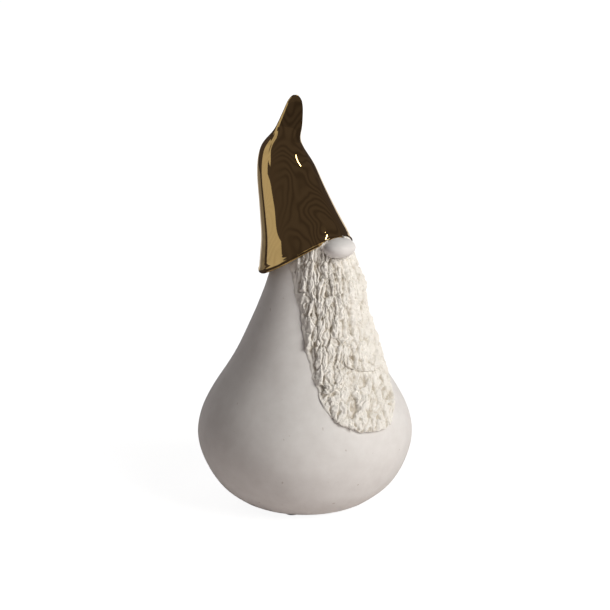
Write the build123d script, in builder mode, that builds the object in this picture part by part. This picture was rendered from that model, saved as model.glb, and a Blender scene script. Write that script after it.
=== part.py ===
"""Garden gnome ornament: a hollow bisque body with a clay beard and nose, and a glazed lift-off hat.

Frame: +Z up, the face looks along -Y, origin at the middle of the foot on the surface it stands on.
"""

import math
import os

from build123d import *

# Body, in millimetres. Its flank is a surface of revolution, given as (radius, height over the foot).
pad_height = 1.5
body_flank = [
    (36.5, 0.0),
    (42.6, 3.0),
    (52.9, 11.0),
    (61.0, 24.0),
    (65.4, 42.0),
    (61.0, 60.0),
    (46.5, 84.0),
    (32.3, 112.0),
    (19.9, 145.0),
]
body_wall = 4.5

# Foot: a ring to stand on around a shallow recess, with the casting hole in its middle.
recess_radius = 24.0
recess_depth = 1.0
drain_radius = 8.0
pad_radius = 4.0
pad_circle = 30.0
pad_count = 3

# Hat rings from the brim to the tip: (height, shift towards the back, radius).
hat_rings = [
    (134.0, -0.8, 27.6),
    (143.0, -1.0, 27.9),
    (152.0, -1.2, 27.9),
    (163.0, -0.9, 26.9),
    (174.0, 3.3, 24.3),
    (185.0, 8.1, 21.6),
    (197.0, 13.2, 19.2),
    (208.0, 16.9, 16.4),
    (214.0, 19.0, 13.7),
    (218.5, 19.1, 11.6),
    (222.5, 17.2, 9.6),
    (227.0, 14.2, 8.2),
    (233.0, 11.8, 7.0),
    (239.0, 9.8, 5.8),
    (244.0, 8.6, 4.5),
    (247.0, 8.2, 2.8),
    (248.4, 8.1, 1.2),
]
hat_wall = 3.6
cavity_top = 208.0

# Brim: its lower edge is a parabola seen from the side, high over the nose and low at the nape.
brim_radius = 27.5
brim_side = 149.2
brim_tilt = 14.1
brim_arch = 7.2

# Head: the neck goes on under the hat as a leaning stub that the hat sits over.
head_rings = [
    (130.0, 0.0, 18.0),
    (150.0, 0.0, 18.4),
    (163.0, 0.0, 17.8),
    (174.0, 3.3, 18.0),
    (185.0, 8.1, 16.9),
    (197.0, 13.2, 14.6),
    (202.0, 14.9, 12.0),
]
head_wall = 4.0

# Nose: a ball of clay pressed on under the brim.
nose_height = 163.0
nose_forward = 28.0
nose_half = (9.5, 9.0, 6.5)

# Beard: outer surface as (radius, height), and its edge as seen from the front, (sideways, height).
beard_surface = [
    (70.0, 40.0),
    (66.2, 57.0),
    (61.0, 70.0),
    (52.0, 86.0),
    (43.2, 106.0),
    (37.4, 122.0),
    (35.8, 138.0),
    (31.5, 149.0),
    (27.6, 162.0),
    (26.5, 173.0),
]
beard_edge = [
    (-16.5, 172.0),
    (-17.6, 153.0),
    (-20.0, 138.0),
    (-23.6, 114.0),
    (-28.8, 84.0),
    (-28.0, 69.0),
    (-16.0, 60.8),
    (-1.0, 58.2),
    (11.0, 61.8),
    (22.0, 75.0),
    (28.0, 90.0),
    (27.0, 112.0),
    (25.5, 138.0),
    (21.0, 158.0),
    (20.0, 172.0),
]
# How far the tip's surface lies under the locks, in front and on the left.
tip_step = 1.3
tip_left_step = 2.6
# The beard thins towards its left edge, where its surface turns about an axis of its own: (radius, height).
left_axis = (10.0, -3.0)
left_surface = [
    (81.4, 40.0),
    (70.9, 57.0),
    (64.9, 69.0),
    (56.3, 83.0),
    (45.4, 104.0),
    (37.4, 125.0),
    (33.8, 138.0),
    (30.6, 149.0),
    (29.0, 162.0),
    (28.0, 173.0),
]
lock_seam = [(-8.0, 176.0), (-9.5, 145.0), (-10.5, 120.0), (-11.5, 100.0)]
left_lock_end = [(-15.0, 91.0), (-22.0, 84.5), (-38.0, 85.0)]
right_lock_end = [(-8.0, 94.5), (3.0, 91.0), (18.0, 89.0), (38.0, 93.0)]

clay_gap = 0.6
beyond = 90.0
middle_axis = (0.0, 0.0)


def brim_height(y):
    """Height of the brim's lower edge at a place y front to back."""
    forward = -y / brim_radius
    return brim_side + brim_tilt * forward + brim_arch * forward**2


def ring_stack(rings):
    """Solid lofted through circles, one above another."""
    with BuildPart() as stack:
        for height, shift, radius in rings:
            with BuildSketch(Plane.XY.offset(height)):
                with Locations((0, shift)):
                    Circle(radius)
        loft()
    return stack.part


def flank_points(wall):
    """Points up the body's flank, moved inwards by a wall."""
    with BuildLine():
        flank = Spline(*[(radius, height + pad_height) for radius, height in body_flank])
    points = []
    for number in range(len(body_flank)):
        place = number / (len(body_flank) - 1)
        point = flank @ place
        along = flank % place
        points.append((point.X - wall * along.Y, max(point.Y + wall * along.X, pad_height + wall)))
    return points


def turned_at(place, points):
    """Solid of revolution inside a profile, about an upright axis at a place."""
    across, along = place
    with BuildPart() as turned:
        with BuildSketch(Plane((across, along, 0), x_dir=(1, 0, 0), z_dir=(0, -1, 0))):
            with BuildLine():
                edge = Spline(*points)
                Polyline(edge @ 1, (0, (edge @ 1).Y), (0, (edge @ 0).Y), edge @ 0)
            make_face()
        revolve(axis=Axis((across, along, 0), (0, 0, 1)))
    return turned.part


# Blank body and head, solid, for the hollow shell and for what is pressed on to it.
with BuildPart() as body_blank:
    add(turned_at(middle_axis, [(radius, height + pad_height) for radius, height in body_flank]))
    add(ring_stack(head_rings))

with BuildPart() as body_shell:
    add(body_blank.part)
    # Hollow belly, neck and head.
    add(turned_at(middle_axis, flank_points(body_wall)), mode=Mode.SUBTRACT)
    add(ring_stack([(z, y, radius - head_wall) for z, y, radius in head_rings[:-1]]), mode=Mode.SUBTRACT)
    # Recess under the foot and the casting hole.
    with BuildSketch(Plane.XY.offset(pad_height)):
        Circle(recess_radius)
    extrude(amount=recess_depth, mode=Mode.SUBTRACT)
    with Locations((0, 0, pad_height + 2 * body_wall)):
        Hole(radius=drain_radius, depth=3 * body_wall)

# Space below the brim's edge.
with BuildPart() as below_brim:
    with BuildSketch(Plane.YZ):
        with BuildLine():
            middle = (0, brim_side - brim_arch * (beyond / brim_radius) ** 2)
            edge = Bezier((-beyond, brim_height(-beyond)), middle, (beyond, brim_height(beyond)))
            Polyline(edge @ 1, (beyond, 0), (-beyond, 0), edge @ 0)
        make_face()
    extrude(amount=beyond, both=True)

with BuildPart() as hat_shell:
    add(ring_stack(hat_rings))
    cavity = ring_stack([(z, y, radius - hat_wall) for z, y, radius in hat_rings if z <= cavity_top])
    add(cavity, mode=Mode.SUBTRACT)
    add(below_brim.part, mode=Mode.SUBTRACT)

# Nose: sits on the neck, and stays clear of the brim above it.
with BuildPart() as nose_ball:
    Sphere(1.0)
    scale(by=nose_half)

with BuildPart() as nose:
    add(nose_ball.part.moved(Location((0, -nose_forward, nose_height))))
    add(body_blank.part, mode=Mode.SUBTRACT)
    add(below_brim.part.moved(Location((0, 0, -clay_gap))), mode=Mode.INTERSECT)


def beard_slab(inset, left_inset):
    """The beard in one piece, its outer surface set in a little in front and on the left."""
    with BuildPart() as slab:
        add(turned_at(middle_axis, [(radius - inset, height) for radius, height in beard_surface]))
        left_points = [(radius - left_inset, height) for radius, height in left_surface]
        add(turned_at(left_axis, left_points), mode=Mode.INTERSECT)
        with BuildSketch(Plane.XZ):
            with BuildLine():
                edge = Spline(*beard_edge)
                Line(edge @ 1, edge @ 0)
            make_face()
        extrude(amount=beyond, mode=Mode.INTERSECT)
        add(body_blank.part, mode=Mode.SUBTRACT)
        add(below_brim.part.moved(Location((0, 0, -clay_gap))), mode=Mode.INTERSECT)
        add(nose.part, mode=Mode.SUBTRACT)
    return slab.part


def lock_space(lock_end):
    """Space that one upper lock fills, from the seam out to its own side."""
    side, bottom = lock_end[-1]
    top = lock_seam[0][1]
    with BuildPart() as space:
        with BuildSketch(Plane.XZ):
            with BuildLine():
                seam = Spline(*lock_seam)
                Spline(seam @ 1, *lock_end)
                Polyline((side, bottom), (side, top), seam @ 0)
            make_face()
        extrude(amount=beyond)
    return space.part


left_lock_space = lock_space(left_lock_end)
right_lock_space = lock_space(right_lock_end)

with BuildPart() as beard_left_lock:
    add(beard_slab(0, 0))
    add(left_lock_space, mode=Mode.INTERSECT)

with BuildPart() as beard_right_lock:
    add(beard_slab(0, 0))
    add(right_lock_space, mode=Mode.INTERSECT)

with BuildPart() as beard_tip:
    add(beard_slab(tip_step, tip_left_step))
    add(left_lock_space, mode=Mode.SUBTRACT)
    add(right_lock_space, mode=Mode.SUBTRACT)

pieces = {
    "body_shell": body_shell,
    "nose": nose,
    "beard_left_lock": beard_left_lock,
    "beard_right_lock": beard_right_lock,
    "beard_tip": beard_tip,
    "hat_shell": hat_shell,
}

# Foot pads, in a circle on the foot ring, one at the back.
for number in range(pad_count):
    turn = math.radians(90 + 360 * number / pad_count)
    with BuildPart() as foot_pad:
        with BuildSketch(Plane.XY):
            with Locations((pad_circle * math.cos(turn), pad_circle * math.sin(turn))):
                Circle(pad_radius)
        extrude(amount=pad_height)
    pieces[f"foot_pad_{number + 1}"] = foot_pad

os.makedirs("parts", exist_ok=True)
for name, piece in pieces.items():
    piece.part.label = name
    export_step(piece.part, f"parts/{name}.step")
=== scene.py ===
"""Garden gnome ornament: the looks of its bisque body, tooled beard, nose and gold lustre hat.

Everything is in metres, in the frame of the CAD model: +Z up, the face looks along -Y.
Clay surfaces are sampled from the CAD solids by rays, and then given the marks of the hand that made them.
"""

import math

import bmesh
import bpy
import numpy as np
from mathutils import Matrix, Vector, noise
from mathutils.bvhtree import BVHTree


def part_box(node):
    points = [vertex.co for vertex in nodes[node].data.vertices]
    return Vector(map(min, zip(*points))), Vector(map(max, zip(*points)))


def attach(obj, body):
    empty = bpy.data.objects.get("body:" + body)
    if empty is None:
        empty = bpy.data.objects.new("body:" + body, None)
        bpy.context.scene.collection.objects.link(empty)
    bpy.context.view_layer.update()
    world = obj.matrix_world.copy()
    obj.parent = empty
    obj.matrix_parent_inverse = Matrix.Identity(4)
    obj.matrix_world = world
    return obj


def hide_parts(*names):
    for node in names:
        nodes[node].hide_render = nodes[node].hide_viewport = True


MM = 0.001
FAR = 0.2

# Camera: the angle round the object from the front, the height angle, and the distance.
CAMERA_AZIMUTH = math.radians(-45)
CAMERA_ELEVATION = math.radians(16)
CAMERA_DISTANCE = 1.2
CAMERA_AIM = 0.12198
SENSOR_WIDTH = 36.0
LENS = 118.03

# Body: rings of points round the axis, closer together at the foot, with dents that end at the neck.
BODY_SIDES = 256
BODY_STEP = 1.05 * MM
INSIDE_STEP = 4 * MM
FOOT_ROUND = 1.4 * MM
DENT_DEPTH = 0.6 * MM
DENT_SIZES = (26 * MM, 11 * MM)
NECK = 140 * MM
BODY_EASE = 16

# Where rays start that measure the body: a radius beside the casting hole, a height in the belly, and how far
# under the head's top its hollow is.
BESIDE_HOLE = 15 * MM
IN_BELLY = 50 * MM
UNDER_CROWN = 15 * MM

# Hat: rings from the tip down, over the lip and up the inside. They are level down to LEVEL_RING, follow the
# brim below it, and keep one centre below STILL_RING. The brim is looked for below BRIM_REACH.
HAT_SIDES = 256
LEVEL_RING = 183 * MM
STILL_RING = 174 * MM
BRIM_REACH = 185 * MM
BRIM_BAND = 8 * MM
LEAST_RADIUS = 15 * MM
IN_HAT = 200 * MM
LIP_HEIGHT = 1.5 * MM
LIP_BULGE = 0.7 * MM
BULGE_RISE = 1.8 * MM
BULGE_SPAN = 1.5 * MM
LIP_DROP = 0.7 * MM
HAT_WAVE = 0.2 * MM
WAVE_SIZE = 20 * MM
WAVE_FADE = (228 * MM, 240 * MM)
HAT_EASE = 8
PINCH_FROM = 221 * MM
PINCH_FULL = 230 * MM
PINCH = 0.55

# Nose: how much of its upper half is left where the brim presses on it, how much wider it is than in the CAD
# model, and how far below the brim it is kept.
NOSE_SIDES = 96
NOSE_RINGS = 64
NOSE_PRESSED = 0.8
NOSE_SPREAD = (1.08, 1.05)
NOSE_CLEAR = 0.6 * MM

# Beard: the even mesh that the tooling is pressed into, and the seed of the noise that warps it.
CLAY_SEED = 5
BEARD_VOXEL = 0.38 * MM

# Tooling: sizes of the marks across, along and into the clay. TURN_WIDTH is in millimetres of surface to a
# radian round the axis, and WARPS in millimetres across and along.
TURN_WIDTH = 46
WARPS = (1.0, 2.4)
WARP_SIZE = 9 * MM
FLAKE_SIZE = (4.3 * MM, 9.6 * MM, 16 * MM)
RIDGE_SIZE = (2.5 * MM, 5.6 * MM, 10 * MM)
CRUMB_SIZE = 0.85 * MM
PIT_SIZE = 2.1 * MM
DEEPEST_CUT = 0.65

# The beard's edges: rows that its left edge is found in, where that edge stays smooth, how it leans and is
# rounded, how far the right lock's end is let down, and the gap to the brim where no brim is above.
EDGE_ROW = 2 * MM
SMOOTH_EDGE = (1.0 * MM, 2.4 * MM)
EDGE_LEAN = 0.12
EDGE_WIDTH = 2.4 * MM
EDGE_DROP = 1.2 * MM
END_DROP = 1.1 * MM
NO_BRIM_GAP = 9 * MM

# Locks: the gaps to the body between which the tooling grows to its full depth, and that depth.
LOCKS = {
    "beard_left_lock": ((0.7 * MM, 2.2 * MM), 2.35 * MM),
    "beard_right_lock": ((0.6 * MM, 2.4 * MM), 2.8 * MM),
    "beard_tip": ((0.3 * MM, 1.6 * MM), 2.3 * MM),
}

# Clay colours: untouched, in a dark speck, and painted shade deep in a crease, with the relief that the
# creases span.
CLEAN = (1.0, 1.0, 1.0)
SPECK = (0.80, 0.77, 0.74)
CREASE_PAINTED_SHADE = (0.66, 0.62, 0.56)
RELIEF_RANGE = (-0.75, -0.05)

# Lustre: how many contour lines of painted reflection its colour has, and the slanting band on the hat's side
# where they fade.
LINE_COUNT = 190.0
REFLECTION_FADE_SIDE = (1.0, 0.0, -0.245)
REFLECTION_FADE_EDGE = (-67.5 * MM, -61.5 * MM)

# Studio: the height its lights face, and the distance and eye height of the cards that the hat mirrors.
STUDIO_MIDDLE = 0.12
CARD_DISTANCE = 0.45
CARD_EYE = 0.18
FLOOR_REACH = 12.0
FLOOR_WHITE = (0.10, 0.45)
WHITE = (1, 1, 1, 1)
MIRRORED = (1, 0.86, 1, 1)

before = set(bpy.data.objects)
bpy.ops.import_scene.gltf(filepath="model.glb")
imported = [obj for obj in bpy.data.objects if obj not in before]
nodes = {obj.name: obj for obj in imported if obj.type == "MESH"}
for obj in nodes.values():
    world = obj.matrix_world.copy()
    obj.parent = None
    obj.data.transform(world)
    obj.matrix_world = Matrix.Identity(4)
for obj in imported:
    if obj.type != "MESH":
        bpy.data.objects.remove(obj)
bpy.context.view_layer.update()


# ---- sampling the CAD surfaces ----


def surface_tree(node):
    """A tree of one CAD node's faces that rays can be cast at."""
    mesh = nodes[node].data
    points = [vertex.co.copy() for vertex in mesh.vertices]
    faces = [tuple(polygon.vertices) for polygon in mesh.polygons]
    return BVHTree.FromPolygons(points, faces)


def ray(tree, start, direction):
    """The first point that a ray meets, or None."""
    return tree.ray_cast(start, direction, 2 * FAR)[0]


def level_way(angle):
    """The level direction at an angle round the axis."""
    return Vector((math.cos(angle), math.sin(angle), 0))


def outward_way(point, centre_y=0):
    """The level direction from the axis, or from a centre behind it, out to a point."""
    return Vector((point.x, point.y - centre_y, 0)).normalized()


def outer_point(tree, centre_y, angle, height):
    """The surface met from far outside, looking level at the ring's centre."""
    out = level_way(angle)
    centre = Vector((0, centre_y, height))
    return ray(tree, centre + out * FAR, -out)


def inner_point(tree, centre_y, angle, height):
    """The surface met from the ring's centre, looking level outwards."""
    return ray(tree, Vector((0, centre_y, height)), level_way(angle))


def middle_y(tree, height):
    """Halfway between the front and the back of a solid at one height."""
    front = ray(tree, Vector((0, -FAR, height)), Vector((0, 1, 0)))
    back = ray(tree, Vector((0, FAR, height)), Vector((0, -1, 0)))
    return (front.y + back.y) / 2


def angles(count):
    """Evenly spaced angles round a ring."""
    return [2 * math.pi * i / count for i in range(count)]


def round_ring(centre_y, radius, height, count):
    """A plain circle of points."""
    ring = []
    for angle in angles(count):
        ring.append(Vector((radius * math.cos(angle), centre_y + radius * math.sin(angle), height)))
    return ring


def steps(low, high, step):
    """Heights from low to high, no more than a step apart."""
    count = max(1, math.ceil((high - low) / step))
    return [low + (high - low) * i / count for i in range(count + 1)]


# ---- making objects ----


def link(name, mesh):
    """A new object of that mesh, shaded smooth."""
    mesh.polygons.foreach_set("use_smooth", np.ones(len(mesh.polygons), dtype=bool))
    piece = bpy.data.objects.new(name, mesh)
    bpy.context.scene.collection.objects.link(piece)
    return piece


def ring_skin(name, rings, first_pole, last_pole):
    """A closed skin over rings of equal count, with a point at each end."""
    count = len(rings[0])
    points = [point for ring in rings for point in ring]
    faces = []
    for row in range(len(rings) - 1):
        base = row * count
        for i in range(count):
            j = (i + 1) % count
            faces.append((base + i, base + count + i, base + count + j, base + j))
    points.append(first_pole)
    points.append(last_pole)
    first = len(points) - 2
    last = len(points) - 1
    base = (len(rings) - 1) * count
    for i in range(count):
        j = (i + 1) % count
        faces.append((first, i, j))
        faces.append((last, base + j, base + i))
    mesh = bpy.data.meshes.new(name)
    mesh.from_pydata(points, [], faces)
    mesh.validate()
    return link(name, mesh)


def eased(rings, rounds, first, last):
    """Rings of points, each point eased towards its neighbours, but for the first and the last few rings."""
    grid = np.array([[tuple(point) for point in ring] for ring in rings])
    still = np.ones((len(rings), 1, 1))
    still[first : len(rings) - last] = 0
    for _ in range(rounds):
        beside = (np.roll(grid, 1, axis=1) + np.roll(grid, -1, axis=1)) / 2
        moved = (grid + beside) / 2
        moved[1:-1] = (moved[1:-1] * 2 + moved[:-2] + moved[2:]) / 4
        grid = grid * still + moved * (1 - still)
    return [[Vector(point) for point in ring] for ring in grid]


def finish_piece(piece, body, node, material):
    """A piece takes the place of its CAD node."""
    piece.data.materials.clear()
    piece.data.materials.append(material)
    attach(piece, body)
    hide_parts(node)


# ---- body ----


def smooth_step(low, high, value):
    """0 below low, 1 above high, and smooth between."""
    t = min(1, max(0, (value - low) / (high - low)))
    return t * t * (3 - 2 * t)


def dented(point, foot, neck):
    """A point on the body's flank, moved by the shallow dents of hand smoothing."""
    fade = smooth_step(foot, foot + 12 * MM, point.z) * (1 - smooth_step(neck - 25 * MM, neck, point.z))
    wide = noise.noise(point / DENT_SIZES[0])
    narrow = noise.noise(point / DENT_SIZES[1] + Vector((7, 3, 5)))
    return point + outward_way(point) * (DENT_DEPTH * fade * (wide + 0.35 * narrow))


def foot_rounding(height):
    """How far the foot's rounded edge is set in at a height over it."""
    if height >= FOOT_ROUND:
        return 0
    return FOOT_ROUND - math.sqrt(FOOT_ROUND**2 - (FOOT_ROUND - height) ** 2)


def body_outside(tree, low, top):
    """Rings over the outside of the body, from the head's top to the foot's edge."""
    heights = [low + FOOT_ROUND * (1 - math.cos(a)) for a in np.linspace(0.12, math.pi / 2, 7)]
    heights += steps(low + FOOT_ROUND + BODY_STEP / 2, top - 0.05 * MM, BODY_STEP)
    rings = []
    for height in reversed(heights):
        centre_y = middle_y(tree, height)
        inset = foot_rounding(height - low)
        ring = []
        for angle in angles(BODY_SIDES):
            point = outer_point(tree, centre_y, angle, height)
            ring.append(dented(point - level_way(angle) * inset, low, NECK))
        rings.append(ring)
    return eased(rings, BODY_EASE, 2, 9)


def body_foot(low, recess_radius, recess_top, hole_radius, floor_top, outer_radius):
    """Rings under the foot: the standing ring, the recess and the casting hole."""
    rounding = 0.5 * MM
    profile = [
        (outer_radius - FOOT_ROUND * 0.95, low),
        (outer_radius - FOOT_ROUND - 3 * MM, low),
        (recess_radius + 4 * MM, low),
        (recess_radius + rounding, low),
        (recess_radius + rounding * 0.3, low + rounding * 0.3),
        (recess_radius, low + rounding),
        (recess_radius - rounding * 0.3, recess_top - rounding * 0.2),
        (recess_radius - rounding, recess_top),
        (recess_radius - 5 * MM, recess_top),
        (hole_radius + 4 * MM, recess_top),
        (hole_radius + rounding, recess_top),
        (hole_radius + rounding * 0.3, recess_top + rounding * 0.3),
        (hole_radius, recess_top + rounding),
        (hole_radius, floor_top - rounding),
        (hole_radius + rounding * 0.3, floor_top - rounding * 0.3),
        (hole_radius + rounding, floor_top),
        (hole_radius + 8 * MM, floor_top),
        (hole_radius + 17 * MM, floor_top),
    ]
    return [round_ring(0, radius, height, BODY_SIDES) for radius, height in profile]


def body_inside(tree, floor_top, ceiling):
    """Rings up the inside wall of the body and head."""
    rings = []
    for height in steps(floor_top + 0.3 * MM, ceiling - 0.3 * MM, INSIDE_STEP):
        centre_y = middle_y(tree, height)
        rings.append([inner_point(tree, centre_y, angle, height) for angle in angles(BODY_SIDES)])
    return rings


def make_body():
    """The hollow bisque body, with its foot, casting hole and inside."""
    tree = surface_tree("body_shell")
    low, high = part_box("body_shell")
    up = Vector((0, 0, 1))
    sideways = Vector((1, 0, 0))
    recess_top = ray(tree, Vector((BESIDE_HOLE, 0, -FAR)), up).z
    floor_top = ray(tree, Vector((BESIDE_HOLE, 0, IN_BELLY)), -up).z
    recess_radius = ray(tree, Vector((BESIDE_HOLE, 0, (low.z + recess_top) / 2)), sideways).x
    hole_radius = ray(tree, Vector((0, 0, (recess_top + floor_top) / 2)), sideways).x
    outer_radius = outer_point(tree, 0, 0, low.z + 0.02 * MM).x
    head_y = middle_y(tree, high.z - 1 * MM)
    ceiling = ray(tree, Vector((0, head_y, high.z - UNDER_CROWN)), up).z
    rings = body_outside(tree, low.z, high.z)
    rings += body_foot(low.z, recess_radius, recess_top, hole_radius, floor_top, outer_radius)
    rings += body_inside(tree, floor_top, ceiling)
    crown = Vector((0, head_y, high.z))
    return ring_skin("body_clay", rings, crown, Vector((0, head_y, ceiling)))


# ---- hat ----


def brim_height(tree, angle, centre_y):
    """The height of the hat's lower edge at one angle, found by halving."""
    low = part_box("hat_shell")[0].z - MM
    high = BRIM_REACH
    for _ in range(16):
        middle = (low + high) / 2
        point = outer_point(tree, centre_y, angle, middle)
        centre = Vector((0, centre_y, middle))
        met = point is not None and (point - centre).dot(level_way(angle)) > LEAST_RADIUS
        low, high = (low, middle) if met else (middle, high)
    return high


def hat_centre_y(tree, height):
    """The middle of the hat's ring at a height, held still below the brim's top."""
    return middle_y(tree, max(height, STILL_RING))


def waved(point, centre_y, fade):
    """A point on the hat, moved by the slight unevenness of hand-built clay."""
    wide = noise.noise(point / WAVE_SIZE + Vector((2.5, 8.1, 4.2)))
    return point + outward_way(point, centre_y) * (HAT_WAVE * fade * wide)


def pinched(point, centre_y):
    """A point on the hat's tip, pressed flatter between finger and thumb."""
    share = PINCH * smooth_step(PINCH_FROM, PINCH_FULL, point.z)
    way = Vector((math.sin(CAMERA_AZIMUTH), -math.cos(CAMERA_AZIMUTH), 0))
    depth = (point - Vector((0, centre_y, point.z))).dot(way)
    return point - way * (depth * share)


def hat_outside(tree, brims, level):
    """Rings down the outside of the hat, from the tip to just over the lip."""
    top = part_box("hat_shell")[1].z
    heights = [top - 0.12 * MM * (1 + i) ** 1.5 for i in range(8)]
    heights += list(reversed(steps(level, heights[-1] - 0.6 * MM, 0.8 * MM)))
    rings = []
    for height in heights:
        centre_y = hat_centre_y(tree, height)
        fade = 1 - smooth_step(*WAVE_FADE, height)
        ring = [outer_point(tree, centre_y, angle, height) for angle in angles(HAT_SIDES)]
        rings.append([pinched(waved(point, centre_y, fade), centre_y) for point in ring])
    rises = list(reversed(steps(LIP_HEIGHT, BRIM_BAND, 0.4 * MM)))
    shares = list(np.linspace(1, 0, 26))[1:-1]
    for share in shares:
        rings.append(hat_row(tree, brims, level, BRIM_BAND, share, 1))
    for rise in rises:
        rings.append(hat_row(tree, brims, level, rise, 0, smooth_step(2 * MM, BRIM_BAND, rise)))
    return eased(rings, HAT_EASE, 10, 12)


def hat_row(tree, brims, level, rise, share, fade):
    """One ring of the hat's outside, a share of the way from a rise over the brim to the level ring."""
    ring = []
    for angle, brim in zip(angles(HAT_SIDES), brims):
        height = (brim + rise) * (1 - share) + level * share
        centre_y = hat_centre_y(tree, height)
        point = waved(outer_point(tree, centre_y, angle, height), centre_y, fade)
        bulge = LIP_BULGE * math.exp(-(((height - brim - BULGE_RISE) / BULGE_SPAN) ** 2))
        ring.append(point + level_way(angle) * bulge)
    return ring


def hat_lip(outside, inside):
    """Rings round the lip, from the last outside ring to the first inside ring."""
    rings = []
    for turn in np.linspace(0, math.pi, 13)[1:-1]:
        ring = []
        for out_point, in_point in zip(outside, inside):
            middle = (out_point + in_point) / 2
            reach = (out_point - in_point) / 2
            fall = (LIP_HEIGHT + LIP_DROP) * math.sin(turn)
            ring.append(middle + reach * math.cos(turn) - Vector((0, 0, fall)))
        rings.append(ring)
    return rings


def hat_inside(tree, brims, level, ceiling):
    """Rings up the inside of the hat."""
    rings = []
    for share in np.linspace(0, 1, 14)[:-1]:
        ring = []
        for angle, brim in zip(angles(HAT_SIDES), brims):
            height = (brim + LIP_HEIGHT) * (1 - share) + level * share
            ring.append(inner_point(tree, hat_centre_y(tree, height), angle, height))
        rings.append(ring)
    for height in steps(level, ceiling - 0.2 * MM, 3 * MM):
        centre_y = hat_centre_y(tree, height)
        rings.append([inner_point(tree, centre_y, angle, height) for angle in angles(HAT_SIDES)])
    return rings


def make_hat():
    """The hat with its rounded lip, hollow to the shoulder."""
    tree = surface_tree("hat_shell")
    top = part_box("hat_shell")[1].z
    level = LEVEL_RING
    centre_y = hat_centre_y(tree, STILL_RING)
    brims = [brim_height(tree, angle, centre_y) for angle in angles(HAT_SIDES)]
    tip = Vector((0, hat_centre_y(tree, top - 0.5 * MM), top))
    inside_y = hat_centre_y(tree, IN_HAT)
    ceiling = ray(tree, Vector((0, inside_y, IN_HAT)), Vector((0, 0, 1))).z
    outside = hat_outside(tree, brims, level)
    inside = hat_inside(tree, brims, level, ceiling)
    rings = outside + hat_lip(outside[-1], inside[0]) + inside
    top_y = hat_centre_y(tree, ceiling)
    return ring_skin("hat_lustre_clay", rings, tip, Vector((0, top_y, ceiling)))


# ---- nose ----


def make_nose():
    """A ball of clay squeezed a little out of round, pressed in under the brim."""
    low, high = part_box("nose")
    brim_tree = surface_tree("hat_shell")
    half = (high - low) / 2
    half.x *= NOSE_SPREAD[0]
    half.y *= NOSE_SPREAD[1]
    centre = (low + high) / 2
    rings = []
    for tilt in np.linspace(0.03, math.pi - 0.03, NOSE_RINGS):
        ring = []
        for angle in angles(NOSE_SIDES):
            flat = math.sin(tilt)
            way = Vector((flat * math.cos(angle), flat * math.sin(angle), math.cos(tilt)))
            swell = 1 + 0.025 * noise.noise(way * 1.4 + Vector((3, 1, 2)))
            point = centre + Vector((way.x * half.x, way.y * half.y, way.z * half.z)) * swell
            if way.z > 0:
                point.z = centre.z + (point.z - centre.z) * NOSE_PRESSED
            ring.append(under_brim(brim_tree, point))
        rings.append(ring)
    top = under_brim(brim_tree, centre + Vector((0, 0, half.z * NOSE_PRESSED)))
    return ring_skin("nose_clay", rings, top, centre - Vector((0, 0, half.z)))


def under_brim(tree, point):
    """A point kept just below the hat's edge over it."""
    edge = ray(tree, Vector((point.x, point.y, NECK)), Vector((0, 0, 1)))
    if edge is None:
        return point
    point.z = min(point.z, edge.z - NOSE_CLEAR)
    return point


# ---- beard ----


def even_copy(node, name):
    """A copy of a CAD node's mesh, remeshed into even small faces and eased."""
    mesh = nodes[node].data.copy()
    soft = bmesh.new()
    soft.from_mesh(mesh)
    bmesh.ops.remove_doubles(soft, verts=soft.verts, dist=0.002 * MM)
    soft.to_mesh(mesh)
    soft.free()
    piece = bpy.data.objects.new(name, mesh)
    bpy.context.scene.collection.objects.link(piece)
    even = piece.modifiers.new("Even", "REMESH")
    even.mode = "VOXEL"
    even.voxel_size = BEARD_VOXEL
    ease = piece.modifiers.new("Ease", "SMOOTH")
    ease.factor = 0.5
    ease.iterations = 4
    evaluated = piece.evaluated_get(bpy.context.evaluated_depsgraph_get())
    result = bpy.data.meshes.new_from_object(evaluated)
    bpy.data.objects.remove(piece)
    return link(name, result)


def in_marks(across, along, radius, size):
    """A place in the clay, counted in marks of a size across, along and into it."""
    return Vector((across / size[0], along / size[1], radius / size[2]))


def clay_tooling(point):
    """Height of the tooled clay at a point: long flakes, creases between them and small crumbs."""
    turn = math.atan2(point.x, -point.y)
    radius = math.hypot(point.x, point.y)
    warp = noise.noise_vector(point / WARP_SIZE)
    across = turn * TURN_WIDTH * MM - 0.2 * point.z + warp.x * WARPS[0] * MM
    along = point.z + warp.z * WARPS[1] * MM
    flake_at = in_marks(across, along, radius, FLAKE_SIZE)
    gaps, seeds = noise.voronoi(flake_at)
    crease = min(1, (gaps[1] - gaps[0]) / 0.3)
    lift = noise.noise(seeds[0] * 9.7)
    lean = (flake_at - seeds[0]).x * lift
    ridge_at = in_marks(across, along, radius, RIDGE_SIZE)
    ridge = 1 - 2 * abs(noise.noise(ridge_at + Vector((5, 9, 2))))
    crumb = noise.noise(Vector((across, along * 0.7, radius)) / CRUMB_SIZE)
    pit = min(0, noise.noise(Vector((across, along * 0.6, radius)) / PIT_SIZE) + 0.18)
    height = 0.62 * math.sqrt(crease) + 0.6 * lift + 0.75 * lean + 0.18 * ridge
    return height + 0.28 * crumb + 1.3 * pit - 0.6


def clay_drift(point):
    """A slow sideways drift of the clay, which keeps the locks' edges from looking cut."""
    wide = noise.noise_vector(point / (8 * MM) + Vector((1, 6, 3)))
    small = noise.noise_vector(point / (3 * MM) + Vector((4, 2, 9)))
    drift = wide * (1.3 * MM) + small * (0.7 * MM)
    out = outward_way(point)
    return drift - out * drift.dot(out)


def left_edge_gaps(places):
    """How far each point lies from the left edge: the least x of the points in rows of one height."""
    heights = places[:, 2]
    rows = np.arange(heights.min(), heights.max(), EDGE_ROW)
    edges = [places[abs(heights - row) < EDGE_ROW, 0].min() for row in rows]
    return places[:, 0] - np.interp(heights, rows, edges)


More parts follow.
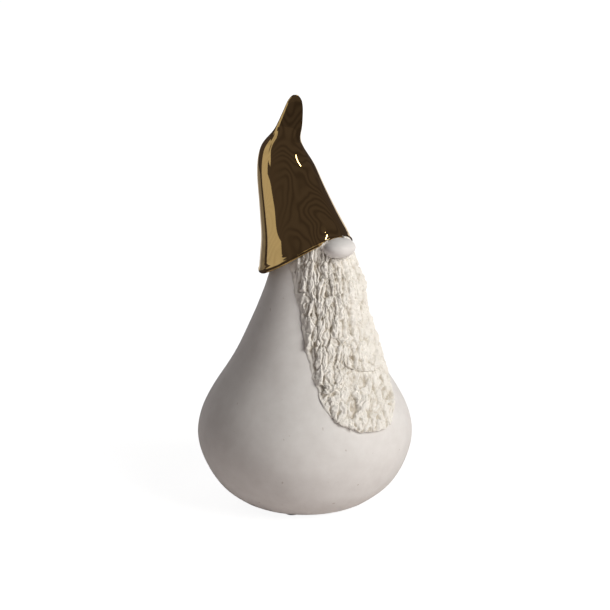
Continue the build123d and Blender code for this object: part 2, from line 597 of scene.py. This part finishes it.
def tooled_share(point, normal, body_gap, gap_range, brim_gap, edge_gap):
    """How strongly a point of the beard is tooled: not where it meets the body, the brim or its left edge."""
    front = smooth_step(-0.35, 0.2, normal.dot(outward_way(point)))
    turn = math.degrees(math.atan2(point.x, -point.y))
    right = 1 - 0.2 * smooth_step(36, 50, turn)
    left = smooth_step(*SMOOTH_EDGE, edge_gap + 0.85 * body_gap)
    low, high = gap_range
    inner = smooth_step(low, high, body_gap) * smooth_step(0.3 * MM, 3 * MM, brim_gap)
    return front * left * right * inner


def leaned_edge(edge_gap, body_gap):
    """How far the side of the beard's left edge leans in over the body."""
    return EDGE_LEAN * min(body_gap, 8 * MM) * (1 - smooth_step(0, 3.5 * MM, edge_gap))


def rounded_edge(edge_gap, body_gap):
    """How far the beard's surface is let down towards its rounded left edge."""
    t = min(1, max(0, edge_gap / EDGE_WIDTH))
    drop = EDGE_DROP * (1 - math.sqrt(1 - (1 - t) ** 2)) * smooth_step(0, 3 * MM, body_gap)
    return min(drop, 0.3 * body_gap)


def faded_end(point, normal):
    """How far the right lock's end is let down where it melts into the tip."""
    facing = normal.dot(outward_way(point))
    turn = math.degrees(math.atan2(point.x, -point.y))
    low = 1 - smooth_step(92 * MM, 108 * MM, point.z)
    return END_DROP * low * smooth_step(6, 18, turn) * smooth_step(0, 0.4, facing)


def brim_gap_at(brim_tree, point):
    """How far the brim is above a point of the beard."""
    start = point - outward_way(point) * MM - Vector((0, 0, 20 * MM))
    edge = ray(brim_tree, start, Vector((0, 0, 1)))
    return NO_BRIM_GAP if edge is None else edge.z - point.z


def tooled_point(point, normal, gaps, gap_range, depth, melts):
    """Where one point of a lock is moved to, and the relief of the tooling there."""
    body_gap, brim_gap, edge_gap = gaps
    outward = outward_way(point)
    share = tooled_share(point, normal, body_gap, gap_range, brim_gap, edge_gap)
    drift = clay_drift(point) * smooth_step(1 * MM, 6 * MM, brim_gap)
    height = clay_tooling(point)
    drop = faded_end(point, normal) if melts else rounded_edge(edge_gap, body_gap)
    lift = max(depth * share * height, -DEEPEST_CUT * body_gap)
    if lift < 0:
        lift *= smooth_step(0.1, 0.6, normal.dot(outward))
    lean = Vector((leaned_edge(edge_gap, body_gap), 0, 0))
    return point + drift + lean + normal * lift - outward * drop, share * height


def rows_of(items, field):
    """A vector of each item of a mesh, as the rows of an array."""
    values = np.empty(len(items) * 3, dtype=np.float32)
    items.foreach_get(field, values)
    return values.reshape(-1, 3)


def make_lock(node, body_tree, brim_tree, gap_range, depth):
    """One lock of the beard, tooled to a depth; the right lock has no left edge and melts into the tip."""
    piece = even_copy(node, node + "_clay")
    mesh = piece.data
    places = rows_of(mesh.vertices, "co")
    normals = rows_of(mesh.vertex_normals, "vector")
    relief = np.zeros(len(places), dtype=np.float32)
    melts = node == "beard_right_lock"
    edge_gaps = np.full(len(places), FAR) if melts else left_edge_gaps(places)
    for i, row in enumerate(normals):
        point = Vector(places[i])
        gaps = (body_tree.find_nearest(point)[3], brim_gap_at(brim_tree, point), edge_gaps[i])
        places[i], relief[i] = tooled_point(point, Vector(row), gaps, gap_range, depth, melts)
    mesh.vertices.foreach_set("co", places.ravel())
    # The relief also darkens the creases in the beard's colour: painted shade.
    mesh.attributes.new("relief", "FLOAT", "POINT").data.foreach_set("value", relief)
    mesh.update()
    return piece


# ---- materials ----


def new_material(name):
    """A node material, its tree and its shader."""
    material = bpy.data.materials.new(name)
    material.use_nodes = True
    tree = material.node_tree
    return material, tree, tree.nodes["Principled BSDF"]


def add_node(tree, kind, **settings):
    """A node with its settings; a setting named after an input sets that input."""
    node = tree.nodes.new(kind)
    for key, value in settings.items():
        label = key.replace("_", " ")
        if label in node.inputs:
            node.inputs[label].default_value = value
        else:
            setattr(node, key, value)
    return node


def noise_node(tree, vector, scale, detail=3.0, rough=0.5):
    """A noise texture at a scale."""
    node = add_node(tree, "ShaderNodeTexNoise", Scale=scale, Detail=detail, Roughness=rough)
    tree.links.new(vector, node.inputs["Vector"])
    return node.outputs["Fac"]


def ramp(tree, value, stops):
    """A colour ramp from (position, colour) stops."""
    node = tree.nodes.new("ShaderNodeValToRGB")
    elements = node.color_ramp.elements
    while len(elements) < len(stops):
        elements.new(0.5)
    for element, (position, colour) in zip(elements, stops):
        element.position = position
        element.color = (*colour, 1)
    tree.links.new(value, node.inputs["Fac"])
    return node.outputs["Color"]


def spread(tree, value, low, high, start=0.0, end=1.0):
    """A value from start to end mapped on to a range."""
    node = tree.nodes.new("ShaderNodeMapRange")
    node.inputs["From Min"].default_value = start
    node.inputs["From Max"].default_value = end
    node.inputs["To Min"].default_value = low
    node.inputs["To Max"].default_value = high
    tree.links.new(value, node.inputs["Value"])
    return node.outputs["Result"]


def bump(tree, shader, height, strength, distance):
    """A bump from a height, in metres of depth."""
    node = add_node(tree, "ShaderNodeBump", Strength=strength, Distance=distance)
    tree.links.new(height, node.inputs["Height"])
    tree.links.new(node.outputs["Normal"], shader.inputs["Normal"])


def multiplied(tree, colour, shade):
    """One colour times another."""
    both = add_node(tree, "ShaderNodeVectorMath", operation="MULTIPLY")
    tree.links.new(colour, both.inputs[0])
    tree.links.new(shade, both.inputs[1])
    return both.outputs["Vector"]


def bisque(name, dark, light, grain, tooled=False):
    """Unglazed fired clay: chalky and faintly cloudy, with specks or, where tooled, painted shade in the
    creases.
    """
    material, tree, shader = new_material(name)
    place = tree.nodes.new("ShaderNodeTexCoord").outputs["Object"]
    cloud = noise_node(tree, place, 110, 4, 0.6)
    colour = ramp(tree, cloud, [(0.3, dark), (0.7, light)])
    if tooled:
        # Where tooled, the relief darkens the creases: painted shade.
        relief = add_node(tree, "ShaderNodeAttribute", attribute_name="relief").outputs["Fac"]
        depth = spread(tree, relief, 0.0, 1.0, *RELIEF_RANGE)
        shade = ramp(tree, depth, [(0.0, CREASE_PAINTED_SHADE), (1.0, CLEAN)])
    else:
        specks = noise_node(tree, place, 420, 0, 0.5)
        shade = ramp(tree, specks, [(0.0, CLEAN), (0.84, CLEAN), (0.88, SPECK)])
    tree.links.new(multiplied(tree, colour, shade), shader.inputs["Base Color"])
    tree.links.new(spread(tree, noise_node(tree, place, 180, 2), 0.62, 0.86), shader.inputs["Roughness"])
    shader.inputs["Specular IOR Level"].default_value = 0.35
    fine = noise_node(tree, place, 1500, 3, 0.6)
    bump(tree, shader, fine, grain, 0.12 * MM)
    return material


def math_node(tree, operation, value, *numbers):
    """A math node of a value and the numbers that follow it."""
    node = add_node(tree, "ShaderNodeMath", operation=operation)
    tree.links.new(value, node.inputs[0])
    for socket, number in enumerate(numbers, 1):
        node.inputs[socket].default_value = number
    return node.outputs[0]


def contour_lines(tree, place):
    """Wavy lines from 0 to 1 that follow the levels of a broad noise, drawn out in height."""
    shape = tree.nodes.new("ShaderNodeMapping")
    shape.inputs["Scale"].default_value = (1.0, 1.0, 0.45)
    tree.links.new(place, shape.inputs["Vector"])
    broad = noise_node(tree, shape.outputs["Vector"], 34, 2.4, 0.35)
    wave = math_node(tree, "SINE", math_node(tree, "MULTIPLY", broad, LINE_COUNT))
    return math_node(tree, "MULTIPLY_ADD", wave, 0.5, 0.5)


def painted_reflection_lines(tree, place):
    """The contour lines of painted reflection in the lustre's colour, fainter beyond a slanting band on the
    hat's side.
    """
    side = add_node(tree, "ShaderNodeVectorMath", operation="DOT_PRODUCT")
    side.inputs[1].default_value = REFLECTION_FADE_SIDE
    tree.links.new(place, side.inputs[0])
    reflection_fade = add_node(tree, "ShaderNodeMix", data_type="FLOAT")
    reflection_fade.inputs["A"].default_value = 0.7
    tree.links.new(spread(tree, side.outputs["Value"], 0.15, 1.0, *REFLECTION_FADE_EDGE), reflection_fade.inputs["Factor"])
    tree.links.new(contour_lines(tree, place), reflection_fade.inputs["B"])
    return reflection_fade.outputs["Result"]


def gold_lustre():
    """Fired gold lustre over glaze: a dark mirror with faint contour lines of painted reflection in its
    colour.
    """
    material, tree, shader = new_material("gold_lustre")
    place = tree.nodes.new("ShaderNodeTexCoord").outputs["Object"]
    # The contour lines are a painted reflection, drawn into the gold's colour.
    figure = painted_reflection_lines(tree, place)
    golds = [(0.0, (0.60, 0.405, 0.16)), (0.5, (0.79, 0.545, 0.215)), (1.0, (0.88, 0.61, 0.245))]
    tree.links.new(ramp(tree, figure, golds), shader.inputs["Base Color"])
    tree.links.new(spread(tree, figure, 0.035, 0.055), shader.inputs["Roughness"])
    shader.inputs["Metallic"].default_value = 1.0
    grit = noise_node(tree, place, 900, 2, 0.6)
    bump(tree, shader, grit, 0.12, 0.02 * MM)
    return material


def silicone():
    """Milky silicone for the foot pads."""
    material, tree, shader = new_material("pad_silicone")
    place = tree.nodes.new("ShaderNodeTexCoord").outputs["Object"]
    cloud = noise_node(tree, place, 400, 2)
    colours = [(0.3, (0.62, 0.62, 0.60)), (0.7, (0.72, 0.72, 0.70))]
    tree.links.new(ramp(tree, cloud, colours), shader.inputs["Base Color"])
    tree.links.new(spread(tree, cloud, 0.35, 0.5), shader.inputs["Roughness"])
    bump(tree, shader, noise_node(tree, place, 2500, 2), 0.2, 0.03 * MM)
    return material


# ---- studio ----


def make_camera():
    """The camera, at the angle the gnome was seen from."""
    data = bpy.data.cameras.new("camera")
    data.sensor_width = SENSOR_WIDTH
    data.lens = LENS
    camera = bpy.data.objects.new("camera", data)
    level = CAMERA_DISTANCE * math.cos(CAMERA_ELEVATION)
    height = CAMERA_AIM + CAMERA_DISTANCE * math.sin(CAMERA_ELEVATION)
    camera.location = (level * math.sin(CAMERA_AZIMUTH), -level * math.cos(CAMERA_AZIMUTH), height)
    aim = Vector((0, 0, CAMERA_AIM)) - camera.location
    camera.rotation_euler = aim.to_track_quat("-Z", "Y").to_euler()
    bpy.context.scene.collection.objects.link(camera)
    bpy.context.scene.camera = camera


def from_camera(turn, rise, distance):
    """A place at a turn to the right of the camera's bearing, a rise and a distance from the object."""
    bearing = CAMERA_AZIMUTH + math.radians(turn)
    level = distance * math.cos(math.radians(rise))
    height = STUDIO_MIDDLE + distance * math.sin(math.radians(rise))
    return Vector((level * math.sin(bearing), -level * math.cos(bearing), height))


def make_light(name, turn, rise, distance, width, height, radiance, colour=(1, 1, 1)):
    """A soft rectangular light that faces the object, hidden from the camera."""
    data = bpy.data.lights.new(name, "AREA")
    data.shape = "RECTANGLE"
    data.size = width
    data.size_y = height
    data.energy = radiance * math.pi * width * height
    data.color = colour
    lamp = bpy.data.objects.new(name, data)
    lamp.location = from_camera(turn, rise, distance)
    aim = Vector((0, 0, STUDIO_MIDDLE)) - lamp.location
    lamp.rotation_euler = aim.to_track_quat("-Z", "Y").to_euler()
    lamp.visible_camera = False
    bpy.context.scene.collection.objects.link(lamp)
    return lamp


def make_card(name, turns, rises, radiance):
    """A pale card that only the lustre mirrors, over a span of turns and of height angles."""
    low = max(0.004, CARD_EYE + CARD_DISTANCE * math.tan(math.radians(rises[0])))
    high = CARD_EYE + CARD_DISTANCE * math.tan(math.radians(rises[1]))
    half_turn = math.radians(turns[1] - turns[0]) / 2
    width = 2 * CARD_DISTANCE * math.tan(half_turn)
    card = make_light(name, (turns[0] + turns[1]) / 2, 0, CARD_DISTANCE, width, high - low, radiance)
    card.location.z = (low + high) / 2
    aim = Vector((-card.location.x, -card.location.y, 0))
    card.rotation_euler = aim.to_track_quat("-Z", "Y").to_euler()
    card.visible_diffuse = False


def make_wall_card(name, across, heights, radiance):
    """A pale card on the wall left of the object, over a span along the wall and a span of heights."""
    bearing = CAMERA_AZIMUTH - math.pi / 2
    out = Vector((math.sin(bearing), -math.cos(bearing), 0))
    along = Vector((math.cos(bearing), math.sin(bearing), 0))
    card = make_light(name, 0, 0, 1, across[1] - across[0], heights[1] - heights[0], radiance)
    card.location = out * CARD_DISTANCE + along * (sum(across) / 2) + Vector((0, 0, sum(heights) / 2))
    card.rotation_euler = (-out).to_track_quat("-Z", "Y").to_euler()
    card.visible_diffuse = False


def by_ray(tree, soft, mirrored, seen):
    """A shader that is one thing to soft light, one to mirror rays and one to the camera."""
    path = tree.nodes.new("ShaderNodeLightPath")
    unseen = tree.nodes.new("ShaderNodeMixShader")
    both = tree.nodes.new("ShaderNodeMixShader")
    tree.links.new(path.outputs["Is Glossy Ray"], unseen.inputs["Fac"])
    tree.links.new(soft.outputs[0], unseen.inputs[1])
    tree.links.new(mirrored.outputs[0], unseen.inputs[2])
    tree.links.new(path.outputs["Is Camera Ray"], both.inputs["Fac"])
    tree.links.new(unseen.outputs[0], both.inputs[1])
    tree.links.new(seen.outputs[0], both.inputs[2])
    return both.outputs[0]


def make_world():
    """White to the camera, dim to the object."""
    world = bpy.data.worlds.new("studio")
    world.use_nodes = True
    tree = world.node_tree
    tree.nodes.clear()
    soft = add_node(tree, "ShaderNodeBackground", Color=(1, 0.905, 0.895, 1), Strength=0.097)
    mirrored = add_node(tree, "ShaderNodeBackground", Color=MIRRORED, Strength=0.058)
    seen = add_node(tree, "ShaderNodeBackground", Color=WHITE, Strength=1.0)
    output = tree.nodes.new("ShaderNodeOutputWorld")
    tree.links.new(by_ray(tree, soft, mirrored, seen), output.inputs["Surface"])
    bpy.context.scene.world = world


def floor_paper(tree):
    """What the camera sees of the floor: pale paper with a glow that whitens it away from the object."""
    paper = add_node(tree, "ShaderNodeBsdfDiffuse", Color=(0.25, 0.25, 0.25, 1))
    glow = add_node(tree, "ShaderNodeEmission", Color=WHITE)
    away = add_node(tree, "ShaderNodeVectorMath", operation="LENGTH")
    tree.links.new(tree.nodes.new("ShaderNodeTexCoord").outputs["Object"], away.inputs[0])
    whiten = spread(tree, away.outputs["Value"], 0.92, 1.0, *FLOOR_WHITE)
    tree.links.new(whiten, glow.inputs["Strength"])
    bright = tree.nodes.new("ShaderNodeAddShader")
    tree.links.new(paper.outputs[0], bright.inputs[0])
    tree.links.new(glow.outputs[0], bright.inputs[1])
    return bright


def make_floor():
    """A wide pale sweep, bright to the camera and dimmer to the object."""
    reach = FLOOR_REACH
    mesh = bpy.data.meshes.new("floor")
    corners = [(-reach, -reach, 0), (reach, -reach, 0), (reach, reach, 0), (-reach, reach, 0)]
    mesh.from_pydata(corners, [], [(0, 1, 2, 3)])
    floor = link("floor", mesh)
    material, tree, _ = new_material("pale_floor")
    soft = add_node(tree, "ShaderNodeBsdfDiffuse", Color=(0.90, 0.84, 0.825, 1))
    mirrored = add_node(tree, "ShaderNodeEmission", Color=MIRRORED, Strength=0.045)
    shader = by_ray(tree, soft, mirrored, floor_paper(tree))
    tree.links.new(shader, tree.nodes["Material Output"].inputs["Surface"])
    floor.data.materials.append(material)


def make_studio():
    """Camera, floor, world and lights."""
    bpy.context.scene.view_settings.view_transform = "Standard"
    make_camera()
    make_world()
    make_floor()
    key = make_light("key", 53, 31, 1.5, 0.75, 0.9, 9.0, (1.0, 0.985, 0.96))
    key.visible_glossy = False
    spark = make_light("spark", 84, 57, 1.6, 0.06, 0.59, 12.0)
    spark.visible_diffuse = False
    make_light("rim_left", -150, 12, 1.6, 1.0, 1.6, 1.4).visible_glossy = False
    make_light("rim_right", 150, 12, 1.6, 1.0, 1.6, 1.1).visible_glossy = False
    make_wall_card("card_low", (-0.17, 0.23), (0.004, 0.30), 0.42)
    make_wall_card("card_middle", (-0.17, 0.08), (0.30, 0.46), 0.42)
    make_wall_card("card_knob", (-0.05, 0.18), (0.46, 0.62), 0.42)
    make_card("card_left", (-150, -122), (-22, -2), 0.16)
    make_card("card_left_back", (-178, -150), (-22, 0), 0.6)
    make_card("card_right_back", (152, 178), (-22, 1), 0.8)


def dress_pads():
    """The foot pads keep their CAD shape and get their own material."""
    rubber = silicone()
    for name, node in nodes.items():
        if name.startswith("foot_pad"):
            node.data.materials.clear()
            node.data.materials.append(rubber)


def main():
    """Builds every piece and lights it."""
    noise.seed_set(CLAY_SEED)
    clay = bisque("body_bisque", (0.74, 0.717, 0.69), (0.80, 0.782, 0.757), 0.25)
    nose_clay = bisque("nose_bisque", (0.76, 0.74, 0.715), (0.83, 0.81, 0.785), 0.25)
    # The beard's colour gets painted shade in its creases.
    beard_clay = bisque("beard_bisque", (0.83, 0.80, 0.735), (0.91, 0.885, 0.83), 0.5, tooled=True)
    finish_piece(make_body(), "figure", "body_shell", clay)
    finish_piece(make_nose(), "figure", "nose", nose_clay)
    brim_tree = surface_tree("hat_shell")
    body_tree = surface_tree("body_shell")
    for node, (gap_range, depth) in LOCKS.items():
        lock = make_lock(node, body_tree, brim_tree, gap_range, depth)
        finish_piece(lock, "figure", node, beard_clay)
    finish_piece(make_hat(), "hat", "hat_shell", gold_lustre())
    dress_pads()
    make_studio()


main()
